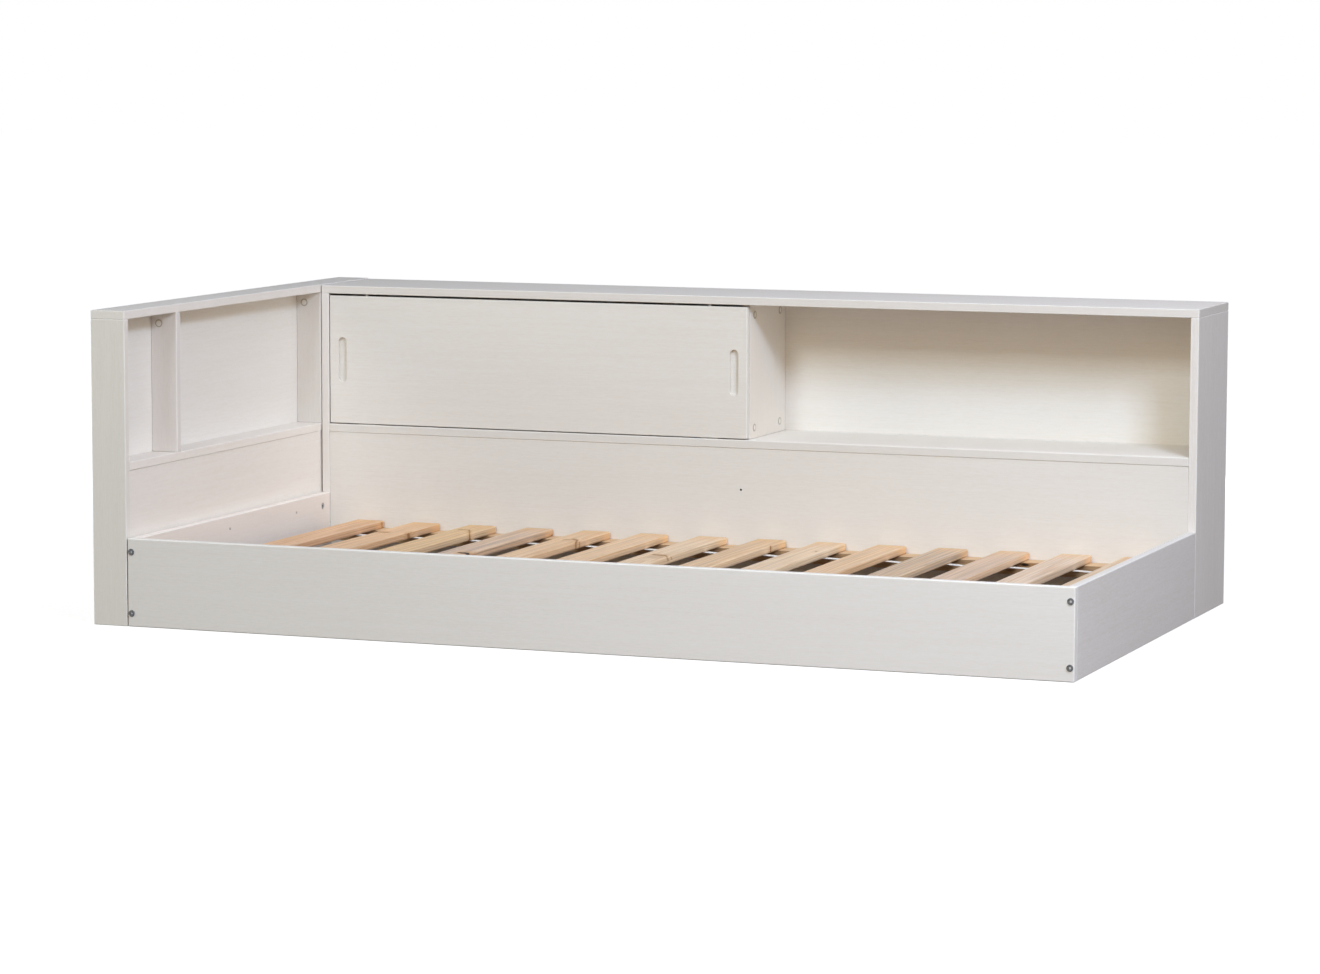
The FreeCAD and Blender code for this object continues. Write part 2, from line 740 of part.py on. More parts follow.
def head_screws():
    """Screws through the head rail into the headboard's lower panel, each with a spacer."""
    bore = "screw_diameter + 2 * clearance"
    spacer_thickness = "head_gap + lower_setback"
    grip = f"board + {spacer_thickness} + screw_grip"
    bore_length = f"{grip} + bore_end_room"
    small_head = ("small_head_diameter", "small_head_height")
    screws = []
    spacers = []
    for depth in ("front + head_screw_front", "unit_front - head_screw_back"):
        screws.append(pan_screw("x", ("inner_left", depth, "bolt_high"), True, grip, small_head))
        bore_at = (f"inner_left - ({bore_length})", depth, "bolt_high")
        drill(["head_rail", "head_lower_panel"], "x", bore_at, bore, bore_length)
        spacer_at = ("head_lower_front", depth, "bolt_high")
        spacer = body_at("spacer", spacer_at)
        add_cylinder(spacer, "x", spacer_at, "spacer_diameter", spacer_thickness)
        add_cylinder(spacer, "x", spacer_at, bore, spacer_thickness, cut=True)
        spacers.append(spacer)
    group("head_screws", screws)
    group("head_spacers", spacers)


def back_nails():
    """Nails through the back panel into the shelf and the divider."""
    shank_bore = "nail_diameter + 2 * clearance"
    head_bore = "nail_head_diameter + 2 * clearance"
    targets = []
    for index in range(SHELF_NAIL_COUNT):
        share = f"{index} / {SHELF_NAIL_COUNT - 1}"
        along = f"inner_left + nail_end_inset + {share} * (inner_length - 2 * nail_end_inset)"
        targets.append(("unit_shelf", along, "shelf_under + board / 2"))
    for index in range(DIVIDER_NAIL_COUNT):
        share = f"{index} / {DIVIDER_NAIL_COUNT - 1}"
        clear_height = "unit_top_under - shelf_height - 2 * divider_nail_inset"
        height = f"shelf_height + divider_nail_inset + {share} * ({clear_height})"
        targets.append(("unit_divider", "divider_left + board / 2", height))
    nails = []
    for label, along, height in targets:
        tip = (along, "back - nail_length", height)
        head = (along, "back - nail_head_height", height)
        bore_at = (along, "back - nail_length - bore_end_room", height)
        drill([label, "unit_back_panel"], "y", bore_at, shank_bore, "nail_length + bore_end_room")
        drill(["unit_back_panel"], "y", head, head_bore, "nail_head_height")
        nail = body_at("nail", tip)
        add_cylinder(nail, "y", tip, "nail_diameter", "nail_length")
        add_cylinder(nail, "y", head, "nail_head_diameter", "nail_head_height")
        nails.append(nail)
    group("back_nails", nails)


def checked():
    """Stops if an object failed or if a sub-part has no valid shape."""
    for thing in doc.Objects:
        if "Invalid" in thing.State or "Error" in thing.State:
            raise RuntimeError(f"{thing.Name} failed: {thing.State}")
    for label, thing in nodes.items():
        if thing.Shape.isNull() or not thing.Shape.isValid() or not thing.Shape.Solids:
            raise RuntimeError(f"{label} has no valid shape")


PLACES = {"slat_count": SLAT_COUNT, **PLACES}
add_sheet("Sizes", SIZES)
add_sheet("Places", {
    alias: content if isinstance(content, int) else "=" + qualified(content).replace("Places.", "")
    for alias, content in PLACES.items()
})
doc.recompute()

bed_box()
shelf_unit()
sliding_door()
shelf_headboard()
rail_bolts()
rail_cams()
divider_cams()
head_cams()
unit_dowels()
head_dowels()
ledger_screws()
head_screws()
back_nails()
doc.recompute()
checked()

os.makedirs("parts", exist_ok=True)
for label, thing in nodes.items():
    thing.Shape.exportStep(f"parts/{label}.step")
print(f"{len(nodes)} sub-parts")
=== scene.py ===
"""Looks of the single bed: painted and bare pine, webbing tapes, steel and plastic fittings."""
import math

import bmesh
import bpy
from mathutils import Matrix, Vector


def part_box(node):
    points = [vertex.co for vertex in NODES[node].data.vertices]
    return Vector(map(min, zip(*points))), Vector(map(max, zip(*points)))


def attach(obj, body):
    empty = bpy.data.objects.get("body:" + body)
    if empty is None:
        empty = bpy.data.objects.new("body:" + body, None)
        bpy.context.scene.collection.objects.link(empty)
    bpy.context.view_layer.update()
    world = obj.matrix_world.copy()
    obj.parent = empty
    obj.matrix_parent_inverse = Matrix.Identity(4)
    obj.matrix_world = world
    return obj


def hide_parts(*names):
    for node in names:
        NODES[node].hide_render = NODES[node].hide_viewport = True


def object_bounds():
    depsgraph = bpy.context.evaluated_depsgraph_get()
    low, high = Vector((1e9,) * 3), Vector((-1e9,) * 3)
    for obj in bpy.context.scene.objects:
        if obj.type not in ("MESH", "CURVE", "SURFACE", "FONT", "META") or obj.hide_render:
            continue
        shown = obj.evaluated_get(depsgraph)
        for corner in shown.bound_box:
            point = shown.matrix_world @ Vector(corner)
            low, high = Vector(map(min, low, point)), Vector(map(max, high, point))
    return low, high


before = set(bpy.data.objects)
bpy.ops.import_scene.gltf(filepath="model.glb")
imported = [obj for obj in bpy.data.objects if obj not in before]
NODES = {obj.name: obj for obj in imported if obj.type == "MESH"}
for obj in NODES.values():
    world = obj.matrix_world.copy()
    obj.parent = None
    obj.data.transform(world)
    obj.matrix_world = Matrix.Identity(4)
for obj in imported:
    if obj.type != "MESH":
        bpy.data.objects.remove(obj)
CAD_BOX = [list(corner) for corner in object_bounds()]
MM = 0.001
AXES = "xyz"
SPECULAR = 0.15
WHITE = (1.0, 1.0, 1.0)
# How far the grain of each board moves across for one unit of its shift along
SHIFT_ACROSS = (0.37, 0.61)
ARRIS = 3.0 * MM  # reach of the worn edges

# Painted boards: the axis that the grain follows, and the tint of the board beside the common
# paint, which paints in the light and shade that falls on each board
PAINT = (0.850, 0.810, 0.755)
PAINTED = {
    "front_rail": ("x", (1.018, 1.029, 1.048)),
    "head_rail": ("y", (1.050, 1.020, 1.010)),
    "foot_rail": ("y", (0.950, 0.957, 0.978)),
    "unit_left_panel": ("z", (0.980, 0.975, 0.995)),
    "unit_right_panel": ("z", (0.968, 0.968, 0.984)),
    "unit_top": ("x", (0.922, 0.920, 0.922)),
    "unit_shelf": ("x", (0.925, 0.932, 0.938)),
    "unit_divider": ("z", (1.045, 1.030, 1.010)),
    "unit_lower_panel": ("x", (0.960, 0.965, 0.970)),
    "sliding_door": ("x", (0.970, 0.975, 0.975)),
    "unit_back_panel": ("x", (1.010, 1.004, 0.999)),
    "head_front_end": ("z", (1.005, 1.010, 1.005)),
    "head_back_end": ("z", (1.000, 1.000, 1.000)),
    "head_top": ("y", (1.034, 1.037, 1.044)),
    "head_back_panel": ("y", (1.020, 1.040, 1.055)),
    "head_shelf": ("y", (1.060, 1.060, 1.060)),
    "head_lower_panel": ("y", (1.052, 1.055, 1.058)),
    "head_divider": ("z", (0.950, 0.950, 0.975)),
    "head_upright": ("z", (0.920, 0.930, 0.940)),
}
# Painted light and shade on the upper face of a board, beside its edges: lighter and darker tops,
# and a painted shadow on the upper edge of the door
UPPER_FACE_LIGHT_AND_SHADE = {
    "unit_top": 1.095, "unit_shelf": 1.185, "head_top": 0.943, "head_shelf": 0.943,
    "sliding_door": 0.35,
}
# Boards whose arrises are not lightened, by wear and by a painted highlight, where they meet
# another board
CLOSED_JOINTS = ("unit_top", "unit_right_panel")
# Boards with an open hole, which is painted dark inside as shade
SHADED_BORES = ("unit_lower_panel",)
# How strongly the brushed grain shows in the paint of some boards, and of the others
GRAIN_STRENGTH = {"foot_rail": 2.4, "unit_right_panel": 2.4}
USUAL_GRAIN = 1.5
# How far the grain darkens and brightens the paint at strength 1, by channel
GRAIN_DARKER = (0.032, 0.042, 0.058)
GRAIN_BRIGHTER = (0.025, 0.032, 0.042)
# Noises in the paint: scale along the grain and across it, detail, roughness
PAINT_NOISES = {
    "fibres": (22.0, 620.0, 4.0, 0.65),
    "bands": (3.0, 130.0, 4.0, 0.60),
    "flecks": (70.0, 260.0, 2.0, 0.60),
    "clouds": (1.4, 4.0, 2.0, 0.50),
}
PAINT_WEIGHTS = {"fibres": 0.36, "bands": 0.20, "flecks": 0.24, "clouds": 0.20}
PAINT_RIDGES = {"fibres": 0.8, "bands": 0.2}
TONE_STOPS = (0.32, 0.50, 0.68)  # tones of the darkened, the plain and the brightened paint
PAINT_SPECULAR = 0.03
PAINT_SHIFT = 1.7
UPPER_FACE = (1.0 * MM, 0.3 * MM)  # depths at which the painted light and shade of an upper face starts and is full
# Edges lightened partly by wear and partly by a painted highlight: their colour and share
WORN_AND_HIGHLIT_PAINT = (0.950, 0.930, 0.900)
PAINT_WEAR_AND_HIGHLIGHT = 0.45
# Painted shade in the joints: its colour and share, how deep a joint is felt, and how open it is
# where the shade is full and where it ends
JOINT_SHADE = (0.26, 0.23, 0.20)
JOINT_SHADE_SHARE = 0.70
JOINT_DEPTH = 5 * MM
SHADED_OPENNESS = (0.08, 0.44)
UNBRIGHTENED = (0.75, 0.98)  # how open a closed joint is where the wear and painted highlight start and are full
UNSHADED_SIDE = (6 * MM, 4 * MM)  # depths below the outer right side at which the painted joint shade fades and ends
# Painted shade inside open bores
BORE_SHADE = (0.050, 0.036, 0.026)
BORE_DEPTH = (0.7 * MM, 1.1 * MM)  # depths at which the painted shade of a bore starts and is full

# Slats from head to foot: tint, which is the wood's own colour and partly painted light; painted
# light and shade of the narrow faces beside it; offset of the heart of the trunk across and below
# in mm; share of grey streaks
SLATS = [
    ((1.050, 0.893, 0.797), (0.95, 0.90, 0.86), 18, -60, 0.45),
    ((1.096, 0.963, 0.849), (0.97, 0.92, 0.87), -30, -45, 0.45),
    ((1.083, 0.999, 0.833), (0.96, 0.98, 1.04), 40, -70, 0.55),
    ((0.990, 0.974, 1.028), (0.99, 0.90, 0.79), -12, -38, 0.90),
    ((1.141, 1.057, 0.980), (1.01, 0.97, 0.92), 25, -55, 0.45),
    ((1.157, 1.098, 1.045), (1.08, 1.03, 0.94), -45, -80, 0.45),
    ((1.159, 1.161, 1.176), (1.07, 1.06, 1.00), 10, -50, 0.45),
    ((1.053, 0.989, 0.920), (1.18, 1.18, 1.16), 33, -64, 0.55),
    ((1.159, 1.165, 1.186), (1.07, 1.08, 1.05), -22, -47, 0.45),
    ((1.090, 1.023, 0.961), (1.13, 1.05, 0.96), 48, -90, 0.45),
    ((0.909, 0.897, 0.920), (1.10, 1.07, 1.00), 5, -36, 0.90),
    ((0.991, 0.972, 1.048), (1.24, 1.17, 1.05), -35, -58, 0.50),
    ((1.096, 1.112, 1.220), (1.13, 1.10, 1.03), 20, -75, 0.45),
    ((1.040, 1.035, 1.060), (1.15, 1.12, 1.04), -15, -52, 0.45),
]
# Knots and cracks of the slats, by number of the slat, as strokes in mm: two ends (across from the
# middle of the slat, along from its back end, above its middle), half the width, depth of colour
MARKS = {
    1: [((34, 16, 6), (34, 14, -7), 1.3, 0.45)],
    2: [((-24, 203, 8), (-3, 201, 8), 2.0, 0.70), ((34, 176, 3), (34, 172, -8), 2.6, 0.70)],
    3: [
        ((-18, 94, 8), (8, 95, 8), 1.6, 0.50), ((8, 95, 8), (33, 150, 8), 1.3, 0.65),
        ((34, 152, 8), (34, 152, -8), 1.2, 0.75), ((34, 152, -5), (34, 153, -8), 2.4, 0.85),
    ],
    4: [
        ((8, 470, 8), (20, 473, 8), 2.0, 1.0), ((20, 473, 8), (33, 478, 8), 3.6, 1.0),
        ((34, 8, -5), (34, 6, -7), 2.0, 0.6),
    ],
    5: [
        ((-6, 182, 8), (8, 160, 8), 1.6, 0.60), ((8, 160, 8), (24, 175, 8), 1.7, 0.65),
        ((24, 175, 8), (34, 205, 7), 1.7, 0.70), ((34, 207, 7), (34, 207, -6), 1.4, 0.60),
        ((34, 186, 7), (34, 186, -6), 1.2, 0.40), ((14, 186, 8), (24, 196, 8), 7.0, 0.15),
    ],
    7: [
        ((-8, 346, 8), (22, 352, 8), 2.0, 0.75), ((22, 352, 8), (32, 368, 8), 1.6, 0.55),
        ((34, 372, 8), (34, 366, 0), 1.5, 0.45), ((34, 350, 8), (34, 345, 0), 1.2, 0.35),
        ((4, 378, 8), (24, 388, 8), 8.0, 0.22),
    ],
    8: [((34, 104, 8), (34, 104, -5), 1.2, 0.80)],
    9: [((20, 165, 8), (23, 166, 8), 1.5, 0.60)],
}

# Knots in the faces of the ledgers in mm: place along the bed, below the top, half the width,
# depth of colour
LEDGER_MARKS = [(-640, 12, 3.0, 0.8), (60, 9, 3.5, 0.8), (668, 18, 3.0, 0.5), (699, 5, 3.0, 1.0)]
LEDGER_STROKE = (6, 4, -1)
LEDGER_TINT = (1.0, 0.92, 0.80)
# Painted shade on the narrow faces of the ledgers
LEDGER_SIDE_SHADE = (0.62, 0.55, 0.48)
LEDGER_HEART = (30, -55)
DOWEL_TINT = (0.95, 0.90, 0.86)
DOWEL_HEART = (10, -20)
USUAL_STREAKS = 0.45
FIRST_LEDGER_NUMBER = 21  # numbers set the shift of the grain, so they differ from the slats'
FIRST_DOWEL_NUMBER = 31

# Noises in bare pine: scale along the grain and across it, detail, roughness
PINE_NOISES = {
    "sway": (1.1, 3.0, 2.0, 0.50),
    "ripple": (9.0, 40.0, 3.0, 0.55),
    "fibres": (26.0, 760.0, 4.0, 0.70),
    "streaks": (2.2, 170.0, 4.0, 0.60),
    "lines": (3.0, 400.0, 3.0, 0.60),
}
PINE_SHIFT = 2.3
EARLY_WOOD = (0.760, 0.590, 0.415)
LATE_WOOD = (0.610, 0.400, 0.225)
LATE_SHARE = 0.55
GREY_WOOD = (0.520, 0.420, 0.330)
STREAK_RANGE = (0.44, 0.62)
FIBRE_RANGE = (0.52, 0.80)
FIBRE_SHARE = 0.30
LINE_SHADES = [(0.36, (0.87, 0.85, 0.81)), (0.50, (1.04, 1.045, 1.05)), (0.64, (1.06, 1.075, 1.09))]
# Painted warm bounce light towards the high end of each piece along its grain
WARM_END = (0.800, 0.520, 0.270)
WARM_END_REACH = 120 * MM
WARM_END_SHARE = 0.50
WORN_PINE = (0.800, 0.640, 0.470)
PINE_WEAR = 0.25
SIDE_FACE = (0.2 * MM, 1.0 * MM)  # depths at which the painted light and shade of a narrow face is full and ends
# Growth rings: distance from ring to ring, how far noises and knots bend them, and the parts of a
# ring in which the late wood darkens and stops
RING_PITCH = 4.6 * MM
RING_SWAY = 22 * MM
RING_RIPPLE = 1.6 * MM
RING_BEND_AT_KNOTS = 7 * MM
RING_DARKENS = (0.35, 0.86)
RING_STOPS = (0.88, 1.0)
# Knots: the core and the halo each end within a range, in half widths of the stroke
KNOT_CORE = (0.5, 1.4)
KNOT_BROWN = (0.250, 0.100, 0.030)
KNOT_BLACK = (0.030, 0.018, 0.012)
KNOT_BLACK_DEPTH = 0.9  # strokes deeper in colour than this are black
KNOT_HALO = (0.8, 5.0)
KNOT_HALO_TONE = (0.600, 0.340, 0.150)
KNOT_HALO_SHARE = 0.60
KNOT_WAVER = 0.6
KNOT_SHORTENING = 1 / 3

# Fittings: the darker and lighter shade of each material, and the noises at which they are full
SHADE_STOPS = (0.35, 0.65)
CAP = 17 * MM
CAP_SHADES = (0.99, 1.05)  # beside the paint of the board
CAP_GROOVE = (5.2 * MM, 6.6 * MM)  # radii at which its painted rim shade starts and is full
CAP_RIM_SHADE = (0.36, 0.31, 0.22)
CAP_RIM_SHADE_SHARE = 0.70
BOLT_HEAD = 13.5 * MM
BOLT_BLACKS = ((0.075, 0.077, 0.081), (0.150, 0.153, 0.158))
BOLT_SOCKET = (1.8 * MM, 3.0 * MM)  # radii at which the painted highlight is full and ends
BOLT_SOCKET_HIGHLIGHT = (0.52, 0.52, 0.53)
ZINC_GREYS = ((0.42, 0.42, 0.43), (0.62, 0.62, 0.63))
ZINC_SCRATCHES = (300, 2400, 900)
NYLON_WHITES = ((0.70, 0.69, 0.66), (0.80, 0.79, 0.77))
# Scales of the noises in steel and plastic
STEEL_DIRT = 260.0
PLASTIC_MOTTLE = 140.0
NYLON_SKIN = 2600.0
ZINC_NODES = (
    "tape_staples", "barrel_nuts", "rail_cams", "rail_cam_pins", "divider_cams",
    "divider_cam_pins", "head_cams", "head_cam_pins", "head_screws", "ledger_screws", "back_nails",
)
NYLON_NODES = (
    "head_spacers", "door_left_glide", "door_right_glide", "door_left_guide", "door_right_guide",
)

# Woven tapes
WARP_PITCH = 1.25 * MM
WEFT_PITCH = 1.6 * MM
THREAD_DARK = (0.66, 0.65, 0.63)
THREAD_LIGHT = (0.87, 0.86, 0.83)
TAPE_SOIL = (0.62, 0.57, 0.50)
SOIL_SCALE = 55.0
SOIL_RANGE = (0.5, 0.8)
SOIL_SHARE = 0.18
TAPE_SAG = 1.1 * MM
SAG_SPREAD = 0.45  # how far the sag differs from gap to gap, and how fast
SAG_CHANGE = 2.1
SAG_STEPS = 8
# Section of a tape: places across it as shares of half its width, and its thickness there as a
# share of the strip in the CAD. The selvedge at each side is a little thicker than the rest
TAPE_SECTION = [
    (-1.0, 0.30), (-0.985, 0.75), (-0.93, 0.92), (-0.86, 0.75), (0.0, 0.72),
    (0.86, 0.75), (0.93, 0.92), (0.985, 0.75), (1.0, 0.30),
]
TAPE_FULLNESS = 0.98  # share of the strip's thickness that is used, to keep clear of the slats

CAMERA_PLACE = (3.270, -8.5894, 1.290)
CAMERA_YAW = 20.976
CAMERA_PITCH = 6.320
CAMERA_ROLL = 0.141
FOCAL_PIXELS = 4346
IMAGE_WIDTH = 1320
SENSOR = 36.0

# Soft lights: place, point aimed at, width and height in metres, watts, colour
UNIT_MIDDLE = (0.3, 0.2, 0.4)
BED_MIDDLE = (0.2, 0.1, 0.3)
LIGHTS = {
    "right_softbox": ((3.27, -3.08, 3.13), UNIT_MIDDLE, (1.05, 0.9), 150.0, (0.587, 0.754, 1.0)),
    "left_softbox": ((-0.91, -7.65, 4.6), UNIT_MIDDLE, (1.3, 1.3), 214.5, (0.751, 0.901, 1.0)),
    "over_right": ((2.2, -1.6, 2.6), BED_MIDDLE, (1.6, 1.6), 16.4, (1.0, 0.704, 0.418)),
    "ceiling": ((1.3, -0.3, 4.5), (0.3, 0.1, 0.0), (4.0, 4.0), 66.6, (0.877, 0.87, 1.0)),
    "right_wall": ((6.0, -0.5, 1.8), UNIT_MIDDLE, (3.0, 3.0), 53.7, (1.0, 0.968, 0.905)),
    "left_wall": ((-5.0, -2.5, 1.8), (0.0, 0.2, 0.4), (3.0, 3.0), 49.4, (1.0, 0.913, 0.696)),
    "front_wall": ((0.9, -4.0, 1.6), BED_MIDDLE, (4.0, 2.0), 32.6, (1.0, 0.73, 0.355)),
    # these two stand low behind the bed and beside its head, so they light those two sides alone
    "back_fill": ((-0.78, 2.8, 0.26), (-0.1, 0.6, 0.30), (2.4, 0.46), 40.0, (0.88, 0.93, 1.0)),
    "head_fill": ((-3.6, 0.6, 0.26), (-1.06, 0.1, 0.30), (1.8, 0.46), 24.0, (0.80, 0.88, 1.0)),
}
AMBIENT = (0.02, 0.02, 0.02)
FLOOR_BOUNCE = (0.21, 0.17, 0.16)
FLOOR_SHADOWED = (0.30, 0.30, 0.30)
FLOOR_HALF = 30
# White of the floor's own: near the bed, and what it gains further off, beyond an ellipse
FLOOR_WHITE = 0.86
FLOOR_WHITE_GAIN = 0.14
FLOOR_ELLIPSE = {"x": 2.2, "y": 1.7}
FLOOR_GAIN_RANGE = (0.9, 1.9)
# Share of that white left out under the bed, how far it stays inside the boards, and its soft edge
UNDER_SHARE = 0.86
UNDER_INSET = 4 * MM
UNDER_FADE = 30 * MM


class Graph:
    """The nodes of one material."""

    def __init__(self, name, specular=SPECULAR):
        self.material = bpy.data.materials.new(name)
        self.material.use_nodes = True
        self.tree = self.material.node_tree
        self.shader = self.tree.nodes["Principled BSDF"]
        self.shader.inputs["Specular IOR Level"].default_value = specular

    def add(self, kind, settings=None, **inputs):
        """Adds a node, with its settings and its inputs by name."""
        node = self.tree.nodes.new(kind)
        for name, setting in (settings or {}).items():
            setattr(node, name, setting)
        for name, content in inputs.items():
            self.feed(node.inputs[name.replace("_", " ")], content)
        return node

    def feed(self, socket, content):
        """Links an output to an input, or sets the input's value."""
        if isinstance(content, bpy.types.NodeSocket):
            self.tree.links.new(content, socket)
        else:
            socket.default_value = content

    def math(self, operation, first, second=0.0, third=0.0, clamp=False):
        node = self.add("ShaderNodeMath", {"operation": operation, "use_clamp": clamp})
        for socket, content in zip(node.inputs, (first, second, third)):
            self.feed(socket, content)
        return node.outputs[0]

    def less(self, first, second):
        return self.math("SUBTRACT", first, second)

    def total(self, *terms):
        result = terms[0]
        for term in terms[1:]:
            result = self.math("ADD", result, term)
        return result

    def product(self, *factors):
        result = factors[0]
        for factor in factors[1:]:
            result = self.math("MULTIPLY", result, factor)
        return result

    def weighted(self, contents, weights):
        """The sum of several contents by name, each times its weight."""
        return self.total(*(self.product(contents[name], weights[name]) for name in weights))

    def length(self, *sides):
        """The length of a vector with these sides."""
        return self.math("SQRT", self.total(*(self.product(side, side) for side in sides)))

    def smooth(self, content, low, high):
        """Rises from 0 to 1 as the content goes from low to high."""
        node = self.add("ShaderNodeMapRange", {"interpolation_type": "SMOOTHSTEP"}, Value=content)
        node.inputs["From Min"].default_value = low
        node.inputs["From Max"].default_value = high
        return node.outputs[0]

    def falling(self, content, low, high):
        """Falls from 1 to 0 as the content goes from low to high."""
        return self.less(1.0, self.smooth(content, low, high))

    def mix(self, factor, first, second, blend="MIX"):
        node = self.add("ShaderNodeMix", {"data_type": "RGBA", "blend_type": blend})
        # inputs 6 and 7 and output 2 are the colours of this node
        self.feed(node.inputs[0], factor)
        self.feed(node.inputs[6], first)
        self.feed(node.inputs[7], second)
        return node.outputs[2]

    def vector_math(self, operation, first, second, output=0):
        node = self.add("ShaderNodeVectorMath", {"operation": operation})
        self.feed(node.inputs[0], first)
        self.feed(node.inputs[1], second)
        return node.outputs[output]

    def vector(self, x, y, z):
        return self.add("ShaderNodeCombineXYZ", X=x, Y=y, Z=z).outputs[0]

    def noise(self, vector, detail, roughness=0.5, scale=1.0):
        inputs = {"Vector": vector, "Scale": scale, "Detail": detail, "Roughness": roughness}
        return self.add("ShaderNodeTexNoise", **inputs).outputs[0]

    def ramp(self, factor, stops):
        """Goes from colour to colour, each at its place."""
        stops = list(stops)
        node = self.add("ShaderNodeValToRGB", Fac=factor)
        elements = node.color_ramp.elements
        while len(elements) < len(stops):
            elements.new(0.5)
        for element, (place, tone) in zip(elements, stops):
            element.position = place
            element.color = colour(tone)
        return node.outputs[0]

    def point(self):
        """The point of the surface in the object's own frame."""
        return self.add("ShaderNodeTexCoord").outputs["Object"]

    def place(self):
        """The point of the surface in the object's own frame, as x, y and z."""
        parts = self.add("ShaderNodeSeparateXYZ", Vector=self.point()).outputs
        return {"x": parts[0], "y": parts[1], "z": parts[2]}

    def bump(self, height, strength, distance):
        node = self.add("ShaderNodeBump", Height=height, Strength=strength, Distance=distance)
        self.feed(self.shader.inputs["Normal"], node.outputs[0])

    def finish(self, tone, roughness):
        self.feed(self.shader.inputs["Base Color"], tone)
        self.feed(self.shader.inputs["Roughness"], roughness)
        return self.material


def colour(channels):
    return (*channels, 1.0)


def scaled(channels, factors):
    return tuple(channel * factor for channel, factor in zip(channels, factors))


def face_distances(graph, place, corners):
    """How far a point lies from the nearer of a box's two faces, along each axis."""
    low, high = corners
    distances = []
    for index, axis in enumerate(AXES):
        below = graph.less(place[axis], low[index])
        above = graph.less(high[index], place[axis])
        distances.append(graph.math("MINIMUM", below, above))
    return distances


def edge_mask(graph, place, corners):
    """Is 1 on the rounded edges of a board and 0 on its flat faces."""
    distances = face_distances(graph, place, corners)
    near = [graph.falling(distance, 0.3 * ARRIS, ARRIS) for distance in distances]
    pairs = [graph.product(near[a], near[b]) for a, b in ((0, 1), (1, 2), (0, 2))]
    return graph.math("MAXIMUM", graph.math("MAXIMUM", pairs[0], pairs[1]), pairs[2])


def inside_board(graph, place, corners):
    """Is 1 on the walls of holes in a board and 0 on its outer faces."""
    depth = 1.0
    for distance in face_distances(graph, place, corners):
        depth = graph.math("MINIMUM", depth, distance)
    return graph.smooth(depth, *BORE_DEPTH)


def grain_noises(graph, place, axis, shift, noises):
    """The noises of a table, stretched along the grain and shifted so that boards differ."""
    across = [letter for letter in AXES if letter != axis]
    along = graph.math("ADD", place[axis], shift)
    first = graph.math("ADD", place[across[0]], SHIFT_ACROSS[0] * shift)
    second = graph.math("ADD", place[across[1]], SHIFT_ACROSS[1] * shift)
    made = {}
    for name, (along_scale, across_scale, detail, roughness) in noises.items():
        stretched = graph.vector(
            graph.product(along, along_scale),
            graph.product(first, across_scale),
            graph.product(second, across_scale),
        )
        made[name] = graph.noise(stretched, detail, roughness)
    return made


def openness(graph, depth):
    """Is 1 on open faces and falls towards 0 deep in a narrow joint between boards."""
    occlusion = graph.add("ShaderNodeAmbientOcclusion", {"samples": 5}, Distance=depth)
    return occlusion.outputs["AO"]


def painted(name, axis, number, paint):
    """Matt white paint on brushed pine with ridged grain; painted light and shade in tints, edges
    and joints.
    """
    graph = Graph("white_" + name, PAINT_SPECULAR)
    place = graph.place()
    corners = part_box(name)
    noises = grain_noises(graph, place, axis, PAINT_SHIFT * number, PAINT_NOISES)
    tone = graph.weighted(noises, PAINT_WEIGHTS)
    strength = GRAIN_STRENGTH.get(name, USUAL_GRAIN)
    dark = scaled(paint, [1.0 - strength * share for share in GRAIN_DARKER])
    bright = scaled(paint, [1.0 + strength * share for share in GRAIN_BRIGHTER])
    base = graph.ramp(tone, zip(TONE_STOPS, (dark, paint, bright)))
    # painted light and shade on the upper face
    if name in UPPER_FACE_LIGHT_AND_SHADE:
        top = corners[1][2]
        upper = graph.smooth(place["z"], *(top - depth for depth in UPPER_FACE))
        base = graph.mix(upper, base, colour([UPPER_FACE_LIGHT_AND_SHADE[name]] * 3), "MULTIPLY")

    edges = edge_mask(graph, place, corners)
    open_share = openness(graph, JOINT_DEPTH)
    # the edges are lightened partly by wear and partly by a painted highlight
    wear = graph.product(edges, PAINT_WEAR_AND_HIGHLIGHT)
    if name in CLOSED_JOINTS:
        wear = graph.product(wear, graph.smooth(open_share, *UNBRIGHTENED))
    base = graph.mix(wear, base, colour(WORN_AND_HIGHLIT_PAINT))
    # the painted joint shade is left off the outer right side, so its joints stay bright
    inside = graph.falling(place["x"], *(CAD_BOX[1][0] - depth for depth in UNSHADED_SIDE))
    joint_shade = graph.product(graph.falling(open_share, *SHADED_OPENNESS), inside, JOINT_SHADE_SHARE)
    base = graph.mix(joint_shade, base, colour(JOINT_SHADE))
    # the open bores are painted dark as shade
    if name in SHADED_BORES:
        base = graph.mix(inside_board(graph, place, corners), base, colour(BORE_SHADE))

    graph.bump(graph.weighted(noises, PAINT_RIDGES), strength=0.25, distance=0.4 * MM)
    brushed = graph.product(noises["fibres"], 0.16)
    return graph.finish(base, roughness=graph.total(0.62, brushed, graph.product(edges, -0.05)))


def stroke_distance(graph, point, start, end):
    """How far a point lies from a straight line between two points."""
    path = end - start
    offset = graph.vector_math("SUBTRACT", point, tuple(start))
    along = graph.vector_math("DOT_PRODUCT", offset, tuple(path), 1)
    share = graph.math("DIVIDE", along, path.length_squared, clamp=True)
    nearest = graph.vector_math("MULTIPLY", graph.vector(share, share, share), tuple(path))
    return graph.vector_math("LENGTH", graph.vector_math("SUBTRACT", offset, nearest), (0, 0, 0), 1)


